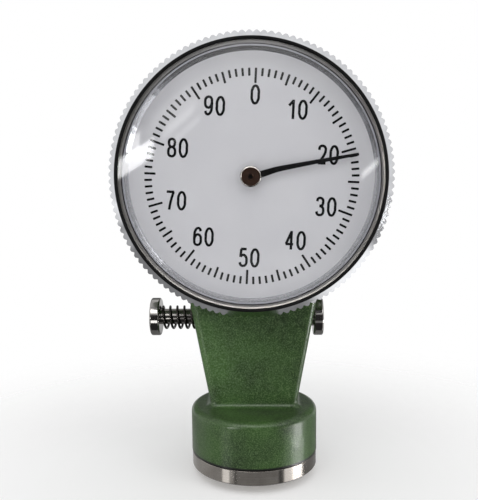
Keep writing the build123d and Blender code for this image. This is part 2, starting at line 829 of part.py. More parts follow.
stud_x = take_up_x + hairspring_inner + hairspring_turns * hairspring_pitch
with BuildPart() as hairspring_stud:
    turned((stud_x, take_up_drop + stud_radius + seat_clearance), stud_radius, rear_gap, hairspring_y)
keep(hairspring_stud, "hairspring_stud")

# Needle and the turned hub that clamps it
with BuildPart() as pointer:
    with BuildSketch(dial_plane(pointer_back_y)):
        Circle(pointer_ring_radius)
        with Locations(Rotation(0, 0, pointer_angle)):
            Polygon(
                (0, -pointer_root_width / 2),
                (pointer_length, -pointer_tip_width / 2),
                (pointer_length, pointer_tip_width / 2),
                (0, pointer_root_width / 2),
                align=None,
            )
        Circle(hub_sleeve_radius + press_clearance, mode=Mode.SUBTRACT)
    extrude(amount=pointer_thickness)
keep(pointer, "pointer")

with BuildPart() as pointer_hub:
    turned((0, 0), hub_radius, pointer_face_y, hub_face_y)
    fillet(pointer_hub.edges().sort_by(Axis.Y)[0], hub_edge)
    turned((0, 0), hub_sleeve_radius, pointer_back_y + hub_sleeve_length, pointer_face_y)
    with BuildSketch(dial_plane(pointer_back_y + hub_sleeve_length)):
        Circle(centre_arbor_radius + press_clearance)
    extrude(amount=pointer_back_y + hub_sleeve_length - hub_face_y, mode=Mode.SUBTRACT)
keep(pointer_hub, "pointer_hub")

# Dial, which turns with the bezel
with BuildPart() as dial_plate:
    with BuildSketch(dial_plane(dial_back_y)):
        Circle(dial_radius)
        Circle(dial_hole_radius, mode=Mode.SUBTRACT)
    extrude(amount=dial_thickness)
keep(dial_plate, "dial_plate")

# Domed crystal and the ring that seals it
crystal_back_y = crystal_seat_y - seat_clearance
crystal_edge_y = crystal_back_y - crystal_edge
crown_y = crystal_edge_y - crystal_rise
with BuildPart() as crystal:
    with BuildSketch(half_section):
        with BuildLine():
            TangentArc((0, crown_y), (crystal_radius, crystal_edge_y), tangent=(1, 0))
            Polyline(
                (crystal_radius, crystal_edge_y),
                (crystal_radius, crystal_back_y),
                (ledge_radius, crystal_back_y),
            )
            TangentArc((0, crown_y + crystal_thickness), (ledge_radius, crystal_back_y), tangent=(1, 0))
            Line((0, crown_y + crystal_thickness), (0, crown_y))
        make_face()
    revolve(axis=dial_axis)
keep(crystal, "crystal")

with BuildPart() as crystal_gasket:
    with BuildSketch(dial_plane(crystal_back_y)):
        Circle(gasket_outer)
        Circle(gasket_inner, mode=Mode.SUBTRACT)
    extrude(amount=crystal_edge + gasket_rise)
    fillet(crystal_gasket.edges().sort_by(Axis.Y)[:2], gasket_round)
keep(crystal_gasket, "crystal_gasket")

# Bezel with a straight-knurled rim
bezel_bore = rim_radius + bezel_play
knurl_width = knurl_share * 2 * math.pi * bezel_radius / knurl_count
with BuildPart() as bezel:
    with BuildSketch(half_section):
        with BuildLine():
            Polyline(
                (pocket_radius, crystal_seat_y),
                (pocket_radius, bezel_front_y),
                (bezel_radius - bezel_chamfer, bezel_front_y),
                (bezel_radius, bezel_front_y + bezel_chamfer),
                (bezel_radius, bezel_back_y - bezel_chamfer),
                (bezel_radius - bezel_chamfer, bezel_back_y),
                (bezel_bore, bezel_back_y),
                (bezel_bore, dial_back_y + dial_clearance / 2),
                (dial_radius + running_clearance, dial_back_y + dial_clearance / 2),
                (dial_radius + running_clearance, dial_face_y),
                (sight_radius, dial_face_y),
                (ledge_radius, crystal_seat_y),
                close=True,
            )
        make_face()
        with Locations((bezel_bore, clip_y)):
            Rectangle(
                2 * (rim_radius + clip_bite + clip_room - bezel_bore),
                clip_wire + 2 * clip_room,
                mode=Mode.SUBTRACT,
            )
    revolve(axis=dial_axis)
    with BuildSketch(dial_plane(bezel_back_y)):
        with PolarLocations(bezel_radius - knurl_depth, knurl_count):
            Polygon(
                (0, 0), (2 * knurl_depth, knurl_width), (2 * knurl_depth, -knurl_width), align=None
            )
    extrude(amount=bezel_back_y - bezel_front_y, mode=Mode.SUBTRACT)
keep(bezel, "bezel")

# Open retaining wire between the case and the bezel
with BuildPart() as bezel_clip:
    with BuildSketch(half_section):
        with Locations((rim_radius + clip_bite - clip_wire / 2, clip_y)):
            RegularPolygon(clip_wire / 2, round_wire_sides)
    revolve(axis=dial_axis, revolution_arc=360 - clip_opening)
keep(bezel_clip, "bezel_clip")

# Back cover and its countersunk screws
cover_back_y = case_back_y + cover_thickness
cover_head_radius = screw_head_ratio * screw_radius
cover_places = ring_planes(cover_back_y, cover_screw_radius, cover_screw_count, cover_screw_start, 1)
with BuildPart() as back_cover:
    with BuildSketch(dial_plane(cover_back_y)):
        Circle(cover_radius)
    extrude(amount=cover_thickness)
    fillet(back_cover.edges().sort_by(Axis.Y)[-1], cover_edge)
    with Locations(*cover_places):
        CounterSinkHole(screw_radius + hole_room, cover_head_radius + hole_room)
keep(back_cover, "back_cover")

with BuildPart() as back_cover_screws:
    with Locations(*cover_places):
        Cylinder(
            screw_radius,
            cover_thickness + cover_screw_length - seat_clearance,
            align=(Align.CENTER, Align.CENTER, Align.MAX),
        )
        Cone(screw_radius, cover_head_radius, screw_radius, align=(Align.CENTER, Align.CENTER, Align.MAX))
        Box(3 * cover_head_radius, screw_slot_width, 2 * screw_slot_depth, mode=Mode.SUBTRACT)
keep(back_cover_screws, "back_cover_screws")
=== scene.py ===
import bmesh
import bpy
import math
from mathutils import Matrix, Vector


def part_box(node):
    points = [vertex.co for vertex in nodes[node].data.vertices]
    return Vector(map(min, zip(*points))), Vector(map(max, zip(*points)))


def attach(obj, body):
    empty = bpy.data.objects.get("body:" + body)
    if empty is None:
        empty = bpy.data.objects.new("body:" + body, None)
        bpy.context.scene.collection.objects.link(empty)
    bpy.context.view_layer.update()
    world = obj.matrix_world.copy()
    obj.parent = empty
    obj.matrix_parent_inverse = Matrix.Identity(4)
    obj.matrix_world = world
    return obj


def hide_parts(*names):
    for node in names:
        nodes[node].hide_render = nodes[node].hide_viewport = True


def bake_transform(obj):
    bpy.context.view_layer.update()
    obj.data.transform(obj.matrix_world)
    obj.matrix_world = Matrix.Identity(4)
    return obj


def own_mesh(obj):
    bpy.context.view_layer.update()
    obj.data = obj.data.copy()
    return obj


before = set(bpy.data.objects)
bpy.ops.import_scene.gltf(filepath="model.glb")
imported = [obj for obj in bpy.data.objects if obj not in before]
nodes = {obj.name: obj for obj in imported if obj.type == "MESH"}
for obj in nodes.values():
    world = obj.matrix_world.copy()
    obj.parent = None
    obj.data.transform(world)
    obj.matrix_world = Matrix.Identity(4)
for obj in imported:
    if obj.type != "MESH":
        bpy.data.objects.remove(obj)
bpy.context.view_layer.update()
mm = 0.001  # every size below is written in millimetres
weldGap = 0.0001  # points of a piece nearer than this become one
dialCentre = (0, 0, 67.8)
lockCentre = (0, 3.0, 34.5)
print("frame loaded:", len(nodes), "pieces")


def linearColour(hexValue):  # sRGB hex to linear RGBA
    parts = [int(hexValue[k:k + 2], 16) / 255 for k in (1, 3, 5)]
    return tuple(c / 12.92 if c <= 0.04045 else ((c + 0.055) / 1.055) ** 2.4 for c in parts) + (1.0,)


def addNode(tree, kind, inputs=None, **settings):  # an input is a constant or another node's output
    node = tree.nodes.new(kind)
    for name, value in settings.items():
        setattr(node, name, value)
    for name, value in (inputs or {}).items():
        if isinstance(value, bpy.types.NodeSocket):
            tree.links.new(value, node.inputs[name])
        else:
            node.inputs[name].default_value = value
    return node


def addMath(tree, operation, *terms):
    return addNode(tree, "ShaderNodeMath", dict(enumerate(terms)), operation=operation).outputs["Value"]


def addVectorMath(tree, operation, *terms, result="Vector"):
    return addNode(tree, "ShaderNodeVectorMath", dict(enumerate(terms)), operation=operation).outputs[result]


def addRange(tree, value, span, low=0.0, high=1.0, easing="LINEAR"):  # the span becomes low to high
    inputs = {"Value": value, "From Min": span[0], "From Max": span[1], "To Min": low, "To Max": high}
    return addNode(tree, "ShaderNodeMapRange", inputs, interpolation_type=easing).outputs["Result"]


def addNoise(tree, place, size, detail):  # clouds about this many millimetres across
    inputs = {"Vector": place, "Scale": 1 / (size * mm), "Detail": detail}
    return addNode(tree, "ShaderNodeTexNoise", inputs).outputs["Fac"]


def addBump(tree, height, distance, strength=1.0, below=None):  # below is the bump that this one lies on
    inputs = {"Height": height, "Distance": distance * mm, "Strength": strength}
    if below is not None:
        inputs["Normal"] = below
    return addNode(tree, "ShaderNodeBump", inputs).outputs["Normal"]


def addRoughness(tree, grain, s, wear):  # smoother and rougher by turns with the grain
    low, high = ((1 + side * wear["roughSpread"]) * s["roughness"] for side in (-1, 1))
    return addRange(tree, grain, wear["grainRange"], low, high)


def mixColours(tree, share, first, second):
    return addNode(tree, "ShaderNodeMix", {0: share, 6: first, 7: second}, data_type="RGBA").outputs[2]


def mixNumbers(tree, share, first, second):
    return addNode(tree, "ShaderNodeMix", {0: share, 2: first, 3: second}, data_type="FLOAT").outputs[0]


def newMaterial(name):
    material = bpy.data.materials.new(name)
    material.use_nodes = True
    tree = material.node_tree
    tree.nodes.clear()
    return material, tree, addNode(tree, "ShaderNodeTexCoord").outputs["Object"]


def dress(names, material):
    for name in names:
        for slot in nodes[name].material_slots:
            slot.material = material


def newPiece(name, bm, material, smoothAngle=None):
    bmesh.ops.remove_doubles(bm, verts=bm.verts, dist=weldGap * mm)
    bmesh.ops.recalc_face_normals(bm, faces=bm.faces)
    for face in bm.faces:
        face.smooth = smoothAngle is not None
    for edge in bm.edges:
        edge.smooth = smoothAngle is not None and edge.calc_face_angle(0) < math.radians(smoothAngle)
    mesh = bpy.data.meshes.new(name)
    bm.to_mesh(mesh)
    bm.free()
    mesh.materials.append(material)
    piece = bpy.data.objects.new(name, mesh)
    bpy.context.scene.collection.objects.link(piece)
    return piece


# Materials

# stove enamel over a rough casting: mottled green, fine pale specks painted in as glints of the orange-peel
# skin, that skin under a wet gloss, and a painted shade band above the joint with the ring
greenEnamel = dict(
    deep="#1C3013", mid="#2E4A1E", mottleSize=8.0, mottleRange=(0.35, 0.65),
    # painted glints: pale specks in the colour stand for the glints of the orange-peel skin
    pale="#748F60", glintSpeckSize=0.24, glintSpeckRange=(0.42, 0.8), glintSpeckMost=0.45,
    # painted shade band at the joint with the ring: its colour and the heights it spans
    seamShade="#0B0D08", seamShadeHeights=(3.85, 4.2),
    waveSize=3.0, waveHeight=0.12, waveStrength=0.6, peelSize=0.4, peelHeight=0.06, peelStrength=0.7,
    roughness=0.42, specular=0.2, gloss=0.4, glossRoughness=0.12,
)


def makeGreenEnamel(s):
    material, tree, coords = newMaterial("stove_green_enamel")
    mottle = addRange(tree, addNoise(tree, coords, s["mottleSize"], detail=4.0), s["mottleRange"])
    glintSpeckNoise = addNoise(tree, coords, s["glintSpeckSize"], detail=2.0)
    # painted glints: pale specks mixed into the green
    paintedGlint = addRange(tree, glintSpeckNoise, s["glintSpeckRange"], high=s["glintSpeckMost"])
    body = mixColours(tree, mottle, linearColour(s["deep"]), linearColour(s["mid"]))
    glintSpeckled = mixColours(tree, paintedGlint, body, linearColour(s["pale"]))
    height = addNode(tree, "ShaderNodeSeparateXYZ", {"Vector": coords}).outputs["Z"]
    above = addRange(tree, height, [z * mm for z in s["seamShadeHeights"]])
    seamShaded = mixColours(tree, above, linearColour(s["seamShade"]), glintSpeckled)  # painted shade: near-black band just above the joint with the ring
    wave = addNoise(tree, coords, s["waveSize"], detail=1.0)
    peel = addNoise(tree, coords, s["peelSize"], detail=3.0)
    swell = addBump(tree, wave, s["waveHeight"], s["waveStrength"])
    skin = addBump(tree, peel, s["peelHeight"], s["peelStrength"], below=swell)
    shader = addNode(tree, "ShaderNodeBsdfPrincipled", {
        "Base Color": seamShaded, "Roughness": s["roughness"], "Specular IOR Level": s["specular"],
        "Coat Weight": s["gloss"], "Coat Roughness": s["glossRoughness"], "Normal": skin, "Coat Normal": skin,
    })
    addNode(tree, "ShaderNodeOutputMaterial", {"Surface": shader.outputs["BSDF"]})
    return material


# metals: grain is "rings" where a lathe cut about an axis, "straight" where drawn or brushed, else "cast";
# zones give other colours inside their radius about the axis, from the outside in, some other finishes and
# some painted shade and painted reflection; grooves are coarser cuts, and leans are shallow turned cones
# between two radii, rising outwards by some degrees
metalFinishes = {
    # fine lathe lines that draw each reflection up and down
    "turned_steel": dict(
        colour="#A6A19B", worn="#97918B", roughness=0.15, grain="rings", axis=2,
        grainSize=0.12, grainDepth=0.001, anisotropic=0.6),
    # mirror rim, and inside it a grey lip, a black band painted as the shadow line under the window's seat,
    # and the bright sight ring with its lines
    "bright_chrome": dict(
        colour="#DCDDE0", worn="#C9CACD", roughness=0.1, grain="rings", axis=1, centre=dialCentre,
        grainSize=0.25, grainDepth=0.002, grooves=dict(radius=27.96, size=0.4, depth=0.03),
        leans=[(27.3, 27.96, 20), (26.85, 27.12, -6.5), (26.2, 26.88, -53)],
        zones=[dict(radius=27.96, colour="#928F8B", roughness=0.32),
               # painted shadow: black band under the edge of the window's seat
               dict(radius=27.3, colour="#141313", roughness=0.5),
               dict(radius=27.12, colour="#C0C1C6", roughness=0.13)]),
    # dark mirror on the button and cap; the rod between them is rougher and painted darker as the shade
    # inside the coil
    "polished_nickel": dict(
        colour="#A3A19E", worn="#8D8A87", roughness=0.09, grain="rings", axis=0, centre=lockCentre,
        # painted shade: the rod zone's darker colour
        grainSize=0.3, grainDepth=0.003, zones=[dict(radius=1.95, colour="#8F8C88", roughness=0.14)]),
    # nearly black wire with an oily shine
    "oiled_spring_steel": dict(
        colour="#4A4744", worn="#33302E", roughness=0.26, grain="cast", grainSize=0.3, grainDepth=0.003),
    # bush around the rod, painted near-black as the shade it sits in beside the neck
    "lock_bush_painted_shade": dict(
        # painted shade: the near-black colour of the bushes
        colour="#4E4B48", worn="#393633", roughness=0.22, grain="rings", axis=0, centre=lockCentre,
        grainSize=0.3, grainDepth=0.003),
    # light grey with grinding marks along the rod
    "ground_steel": dict(
        colour="#A9A8A5", worn="#8F8E8B", roughness=0.22, grain="straight", stretch=(1, 1, 0.04),
        grainSize=0.15, grainDepth=0.003),
    # light grey with lathe rings
    "turned_arbor_steel": dict(
        colour="#ABAAA7", worn="#92918E", roughness=0.2, grain="rings", axis=1, centre=dialCentre,
        grainSize=0.2, grainDepth=0.003),
    # duller heads, stained in places
    "screw_steel": dict(
        colour="#A3A19C", worn="#7F7D78", roughness=0.25, grain="rings", axis=1, centre=dialCentre,
        grainSize=0.25, grainDepth=0.004),
    # yellow plates and wheels, brushed one way
    "grained_brass": dict(
        colour="#C09A4E", worn="#A27C36", roughness=0.3, grain="straight", stretch=(0.03, 1, 1),
        grainSize=0.2, grainDepth=0.004),
    # silvery edge around a face painted brown as a reflection of dark, brownish surroundings, with coarse
    # rings
    "hub_painted_reflection": dict(
        colour="#CFCBC5", worn="#B9B4AE", roughness=0.07, grain="rings", axis=1, centre=dialCentre,
        grainSize=0.16, grainDepth=0.006, grooves=dict(radius=1.95, size=0.45, depth=0.05),
        # painted reflection: the brown face colour
        zones=[dict(radius=1.95, colour="#624A3E", roughness=0.3)]),
    # brown end in the middle of the hub, painted as the same dark reflection as the hub's face, with a black
    # disc painted in its middle as the shade of a centre hole
    "arbor_end_painted_reflection_and_shade": dict(
        colour="#4C392E", worn="#3E2E25", roughness=0.3, grain="rings", axis=1, centre=dialCentre,
        # painted shade: the black centre disc stands for a hole's shade
        grainSize=0.14, grainDepth=0.006, zones=[dict(radius=0.36, colour="#120E0B", roughness=0.6)]),
    # dull and porous
    "sintered_bronze": dict(
        colour="#8E6C42", worn="#6B4F2E", roughness=0.42, grain="cast", grainSize=0.12, grainDepth=0.02),
    # circular satin that glints in two sectors
    "satin_cover_steel": dict(
        colour="#B3B2AF", worn="#9F9E9B", roughness=0.3, grain="rings", axis=1, centre=dialCentre,
        grainSize=0.18, grainDepth=0.006, anisotropic=0.6),
}
metalWear = dict(
    stainSize=4.0, stainRange=(0.4, 0.75), grainRange=(0.3, 0.7), roughSpread=0.3, grainStrength=0.5,
    zoneBlur=0.02, smearTurn=0.25,
)


def makeMetal(name, s, wear):
    material, tree, coords = newMaterial(name)
    centre = [-c * mm for c in s.get("centre", (0, 0, 0))]
    placed = addNode(tree, "ShaderNodeMapping", {"Vector": coords, "Location": centre}).outputs["Vector"]
    pattern = placed
    if s["grain"] == "straight":
        pattern = addVectorMath(tree, "MULTIPLY", placed, s["stretch"])
    if s["grain"] == "rings":
        along = [float(k == s["axis"]) for k in range(3)]
        flat = addVectorMath(tree, "MULTIPLY", placed, [1 - a for a in along])
        radius = addVectorMath(tree, "LENGTH", flat, result="Value")
        depth = addVectorMath(tree, "DOT_PRODUCT", placed, along, result="Value")
        pattern = addNode(tree, "ShaderNodeCombineXYZ", {"X": radius, "Y": depth}).outputs["Vector"]

    def crossing(edge, low=0.0, high=1.0):  # low inside this radius and high outside it
        span = ((edge - wear["zoneBlur"]) * mm, (edge + wear["zoneBlur"]) * mm)
        return addRange(tree, radius, span, low, high)

    grain = addNoise(tree, pattern, s["grainSize"], detail=3.0)
    stain = addRange(tree, addNoise(tree, coords, wear["stainSize"], detail=3.0), wear["stainRange"])
    colour = mixColours(tree, stain, linearColour(s["colour"]), linearColour(s["worn"]))
    rough = addRoughness(tree, grain, s, wear)
    for zone in s.get("zones", ()):
        outside = crossing(zone["radius"])
        colour = mixColours(tree, outside, linearColour(zone["colour"]), colour)
        rough = mixNumbers(tree, outside, zone["roughness"], rough)
    bump = addBump(tree, grain, s["grainDepth"], wear["grainStrength"])
    if "grooves" in s:
        groove = s["grooves"]
        cuts = addNoise(tree, pattern, groove["size"], detail=2.0)
        within = crossing(groove["radius"], low=1.0, high=0.0)
        bump = addBump(tree, cuts, groove["depth"], within, below=bump)
    for low, high, degrees in s.get("leans", ()):
        climb = (high - low) * math.tan(math.radians(degrees))
        cone = addRange(tree, radius, (low * mm, high * mm), high=climb)
        bump = addBump(tree, cone, 1.0, below=bump)
    inputs = {"Metallic": 1.0, "Base Color": colour, "Roughness": rough, "Normal": bump}
    if "anisotropic" in s:  # the fine cuts smear a reflection across themselves
        tangent = addNode(tree, "ShaderNodeTangent", direction_type="RADIAL", axis="XYZ"[s["axis"]])
        inputs["Tangent"] = tangent.outputs["Tangent"]
        inputs["Anisotropic"] = s["anisotropic"]
        inputs["Anisotropic Rotation"] = wear["smearTurn"]
    shader = addNode(tree, "ShaderNodeBsdfPrincipled", inputs)
    addNode(tree, "ShaderNodeOutputMaterial", {"Surface": shader.outputs["BSDF"]})
    return material


# painted and moulded surfaces: a slow drift of tone, a fine grain in colour, roughness and skin
coatFinishes = {
    # dull black with a faint grain
    "moulded_black_rubber": dict(
        colour="#050505", pale="#0D0D0E", driftSize=2.0, grainSize=0.15, grainHeight=0.01,
        roughness=0.7, specular=0.15),
    # even cool white
    "white_dial_lacquer": dict(
        colour="#CBCBD0", pale="#D3D3D7", driftSize=9.0, grainSize=0.12, grainHeight=0.002,
        roughness=0.5, specular=0.4),
    # deep black with a soft shine
    "black_needle_lacquer": dict(
        colour="#040405", pale="#0A0A0C", driftSize=1.5, grainSize=0.1, grainHeight=0.003,
        roughness=0.3, specular=0.2),
    # matt black
    "screen_print_ink": dict(
        colour="#08080A", pale="#101013", driftSize=1.0, grainSize=0.08, grainHeight=0.002,
        roughness=0.5, specular=0.1),
}
coatWear = dict(
    driftShare=0.5, grainShare=0.5, toneRange=(0.35, 0.65), grainRange=(0.3, 0.7), roughSpread=0.15,
    grainStrength=0.5,
)


def makeCoat(name, s, wear):
    material, tree, coords = newMaterial(name)
    drift = addNoise(tree, coords, s["driftSize"], detail=2.0)
    grain = addNoise(tree, coords, s["grainSize"], detail=2.0)
    slow = addMath(tree, "MULTIPLY", drift, wear["driftShare"])
    both = addMath(tree, "MULTIPLY_ADD", grain, wear["grainShare"], slow)
    share = addRange(tree, both, wear["toneRange"])
    shader = addNode(tree, "ShaderNodeBsdfPrincipled", {
        "Base Color": mixColours(tree, share, linearColour(s["colour"]), linearColour(s["pale"])),
        "Roughness": addRoughness(tree, grain, s, wear), "Specular IOR Level": s["specular"],
        "Normal": addBump(tree, grain, s["grainHeight"], wear["grainStrength"]),
    })
    addNode(tree, "ShaderNodeOutputMaterial", {"Surface": shader.outputs["BSDF"]})
    return material


# moulded acrylic: clear, with faint wipe marks that soften what it mirrors
crystalFinish = dict(
    ior=1.49, smear=0.045, smearSize=6.0, smearRange=(0.45, 0.75), wipeTurn=0.6, wipeStretch=0.3,
)


def makeCrystal(s):
    material, tree, coords = newMaterial("clear_acrylic")
    wiped = addNode(tree, "ShaderNodeMapping", {
        "Vector": coords, "Rotation": (0, s["wipeTurn"], 0), "Scale": (1, 1, s["wipeStretch"]),
    }).outputs["Vector"]
    smear = addNoise(tree, wiped, s["smearSize"], detail=4.0)
    glass = addNode(tree, "ShaderNodeBsdfPrincipled", {
        "Base Color": (1, 1, 1, 1), "IOR": s["ior"], "Transmission Weight": 1.0,
        "Roughness": addRange(tree, smear, s["smearRange"], high=s["smear"]),
    })
    clear = addNode(tree, "ShaderNodeBsdfTransparent")
    shadow = addNode(tree, "ShaderNodeLightPath").outputs["Is Shadow Ray"]
    mix = addNode(tree, "ShaderNodeMixShader", {
        0: shadow, 1: glass.outputs["BSDF"], 2: clear.outputs["BSDF"],
    })
    addNode(tree, "ShaderNodeOutputMaterial", {"Surface": mix.outputs["Shader"]})
    return material


metals = {name: makeMetal(name, s, metalWear) for name, s in metalFinishes.items()}
coats = {name: makeCoat(name, s, coatWear) for name, s in coatFinishes.items()}
acrylic = makeCrystal(crystalFinish)
metalNodes = {
    "turned_steel": ["base_ring", "plunger_head"],
    "satin_cover_steel": ["back_cover"],
    "bright_chrome": ["bezel"],
    "hub_painted_reflection": ["pointer_hub"],
    "arbor_end_painted_reflection_and_shade": ["centre_arbor"],
    "polished_nickel": ["lock_cap", "lock_rod"],
    "oiled_spring_steel": ["hairspring", "bezel_clip"],
    "lock_bush_painted_shade": ["lock_bushes"],
    "ground_steel": ["spindle", "guide_pin", "spring_adjuster"],
    "turned_arbor_steel": ["plate_pillars", "rack_arbor", "take_up_arbor", "hairspring_stud"],
    "screw_steel": ["pillar_screws", "movement_screws", "back_cover_screws"],
    "grained_brass": ["front_plate", "rear_plate", "intermediate_wheel", "take_up_wheel"],
    "sintered_bronze": ["lower_guide_bush", "upper_guide_bush"],
}
for finish, names in metalNodes.items():
    dress(names, metals[finish])
dress(["housing"], makeGreenEnamel(greenEnamel))
dress(["dial_plate"], coats["white_dial_lacquer"])
print("materials done")


# Black print on the dial: 100 divisions and plain numbers, turned with the bezel as the photograph shows
dialPrint = dict(
    face=-11.5, turn=3.0, shift=(0.095, -0.24), inkHeight=0.02,
    divisions=100, tickOuter=22.91, tickWidth=0.48, tickLengths=(1.67, 2.45, 3.16), tickCorner=0.12,
    digitSize=(1.44, 3.65), digitPitch=2.49, stroke=0.56, strokeRounding=2, strokeSteps=5,
    numbers={  # clockwise angle from the top and radius of each number's middle
        "0": (0.25, 17.38), "10": (31.49, 17.14), "20": (71.09, 16.91), "30": (108.78, 17.02),
        "40": (142.36, 16.36), "50": (179.12, 17.13), "60": (216.8, 16.29), "70": (250.84, 16.88),
        "80": (289.52, 16.89), "90": (330.29, 16.98),
    },
)
# strokes in a unit box; the first value says closed, c is a curved point and k a corner
digitStrokes = {
    "0": [(True, "c.5,1 c.94,.8 c1,.5 c.94,.2 c.5,0 c.06,.2 c0,.5 c.06,.8")],
    "1": [(False, "k.2,.71 k.83,1"), (False, "k.83,1.05 k.83,-.05")],
    "2": [(False, "c.02,.76 c.14,.94 c.5,1 c.9,.91 c.97,.73 c.8,.5 k.02,0"), (False, "k-.08,0 k1.05,0")],
    "3": [(False, "c.04,.8 c.17,.95 c.5,1 c.87,.91 c.93,.74 c.8,.58 k.42,.53"),
          (False, "k.42,.53 c.85,.46 c1,.27 c.87,.06 c.5,0 c.14,.05 c0,.21")],
    "4": [(False, "k.76,-.05 k.76,1.05"), (False, "k.76,1 k0,.27"), (False, "k-.06,.27 k1.08,.27")],
    "5": [(False, "k.96,1 k.12,1"), (False, "k.17,1 k.08,.52"),
          (False, "k.08,.54 c.3,.63 c.55,.65 c.9,.53 c1,.33 c.88,.08 c.5,0 c.14,.06 c0,.21")],
    "6": [(False, "c.95,.81 c.82,.95 c.53,1 c.16,.86 c.02,.5 c.02,.3 c.14,.07 c.5,0 c.88,.08 c1,.31 c.88,.54 "
                  "c.52,.62 c.17,.53 c.02,.33")],
    "7": [(False, "k-.04,1 k1.1,1"), (False, "k1,1 c.64,.5 k.4,-.05")],
    "8": [(True, "c.5,1 c.87,.92 c.93,.76 c.8,.6 c.5,.54 c.2,.6 c.07,.76 c.13,.92"),
          (True, "c.5,.54 c.87,.46 c1,.27 c.88,.07 c.5,0 c.12,.07 c0,.27 c.13,.46")],
    "9": [(False, "c.05,.19 c.18,.05 c.47,0 c.84,.14 c.98,.5 c.98,.7 c.86,.93 c.5,1 c.12,.92 c0,.69 c.12,.46 "
                  "c.48,.38 c.83,.47 c.98,.67")],
}


def drawNumbers(s):
    curve = bpy.data.curves.new("dialNumbers", "CURVE")
    curve.dimensions = "3D"
    curve.bevel_depth = s["stroke"] / 2 * mm
    curve.bevel_resolution = s["strokeRounding"]
    curve.resolution_u = s["strokeSteps"]
    curve.use_fill_caps = True
    for text, (angle, radius) in s["numbers"].items():
        middle = Vector((math.sin(math.radians(angle)), math.cos(math.radians(angle)))) * radius
        for place, digit in enumerate(text):
            shift = (place - (len(text) - 1) / 2) * s["digitPitch"]
            for closed, points in digitStrokes[digit]:
                points = points.split()
                spline = curve.splines.new("BEZIER")
                spline.bezier_points.add(len(points) - 1)
                for point, word in zip(spline.bezier_points, points):
                    x, y = (float(part) for part in word[1:].split(","))
                    across = middle.x + shift + (x - 0.5) * s["digitSize"][0]
                    up = middle.y + (y - 0.5) * s["digitSize"][1]
                    point.co = (across * mm, 0, up * mm)
                    point.handle_left_type = point.handle_right_type = "AUTO" if word[0] == "c" else "VECTOR"
                spline.use_cyclic_u = closed
    holder = bpy.data.objects.new("dialNumbers", curve)
    bpy.context.scene.collection.objects.link(holder)
    bpy.context.view_layer.update()
    mesh = bpy.data.meshes.new_from_object(holder.evaluated_get(bpy.context.evaluated_depsgraph_get()))
    bpy.data.objects.remove(holder)
    return mesh


def makeDialPrint(s):
    bm = bmesh.new()
    for tick in range(s["divisions"]):
        kind = 2 if tick % 10 == 0 else 1 if tick % 5 == 0 else 0
        length = s["tickLengths"][kind]
        size = Matrix.Diagonal((s["tickWidth"] * mm, s["stroke"] * mm, length * mm, 1))
        out = Matrix.Translation((0, 0, (s["tickOuter"] - length / 2) * mm))
        turn = Matrix.Rotation(2 * math.pi * tick / s["divisions"], 4, "Y")
        bmesh.ops.create_cube(bm, size=1, matrix=turn @ out @ size)
    upright = Vector((0, 1, 0))  # a tick's corners are its edges that stand on the dial
    corners = [e for e in bm.edges
               if abs((e.verts[0].co - e.verts[1].co).normalized().dot(upright)) > 0.9]
    bmesh.ops.bevel(bm, geom=corners, offset=s["tickCorner"] * mm, segments=2, profile=0.5, affect="EDGES",
                    material=-1)
    bm.from_mesh(drawNumbers(s))
    bmesh.ops.scale(bm, verts=bm.verts, vec=(1, 2 * s["inkHeight"] / s["stroke"], 1))  # pressed flat as ink
    bmesh.ops.rotate(bm, verts=bm.verts, matrix=Matrix.Rotation(math.radians(s["turn"]), 3, "Y"))
    place = Vector((s["shift"][0], s["face"], dialCentre[2] + s["shift"][1]))
    bmesh.ops.translate(bm, verts=bm.verts, vec=place * mm)
    piece = newPiece("dialPrint", bm, coats["screen_print_ink"])
    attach(piece, "bezel_set")


makeDialPrint(dialPrint)
print("dial print done")


# Needle: a flat blade on an eye around the hub's sleeve, bent near its root and tapered to the tip
needleBlade = dict(
    angle=11.0, back=-12.7, front=-13.0, eye=1.6, hole=1.02, steps=40, edge=0.06, sharp=60,
    line=[(2.4, 0.05, 1.42), (5.6, 0.37, 1.2), (7.0, 0.385, 1.12), (14.0, 0.27, 0.88),
          (23.1, 0.03, 0.6)],  # along, up, width
)


def makeNeedleBlade(s):
    near = math.asin(s["line"][0][2] / 2 / s["eye"])
    arc = [near + (2 * math.pi - 2 * near) * k / s["steps"] for k in range(s["steps"] + 1)]
    outline = [(s["eye"] * math.cos(a), s["eye"] * math.sin(a)) for a in arc]
    outline += [(x, z - w / 2) for x, z, w in s["line"]] + [(x, z + w / 2) for x, z, w in reversed(s["line"])]
    bm = bmesh.new()
    rim = [bm.verts.new((x * mm, 0, z * mm)) for x, z in outline]
    edges = [bm.edges.new(pair) for pair in zip(rim, rim[1:] + rim[:1])]
    turn = Matrix.Rotation(math.radians(90), 4, "X")
    hole = bmesh.ops.create_circle(bm, segments=s["steps"], radius=s["hole"] * mm, matrix=turn)["verts"]
    edges += {edge for vert in hole for edge in vert.link_edges}
    bmesh.ops.triangle_fill(bm, use_beauty=True, use_dissolve=False, edges=edges)
    front = bmesh.ops.extrude_face_region(bm, geom=bm.faces[:])["geom"]
    bmesh.ops.translate(bm, verts=[part for part in front if isinstance(part, bmesh.types.BMVert)],
                        vec=(0, (s["front"] - s["back"]) * mm, 0))
    corners = [part for part in front if isinstance(part, bmesh.types.BMEdge)
               and part.calc_face_angle(0) > math.radians(s["sharp"])]
    bmesh.ops.bevel(bm, geom=corners, offset=s["edge"] * mm, segments=2, profile=0.5, affect="EDGES",
                    material=-1)
    bmesh.ops.rotate(bm, verts=bm.verts, matrix=Matrix.Rotation(math.radians(-s["angle"]), 3, "Y"))
    bmesh.ops.translate(bm, verts=bm.verts, vec=Vector((0, s["back"], dialCentre[2])) * mm)
    piece = newPiece("needleBlade", bm, coats["black_needle_lacquer"], smoothAngle=40)
    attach(piece, "needle")
    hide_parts("pointer")


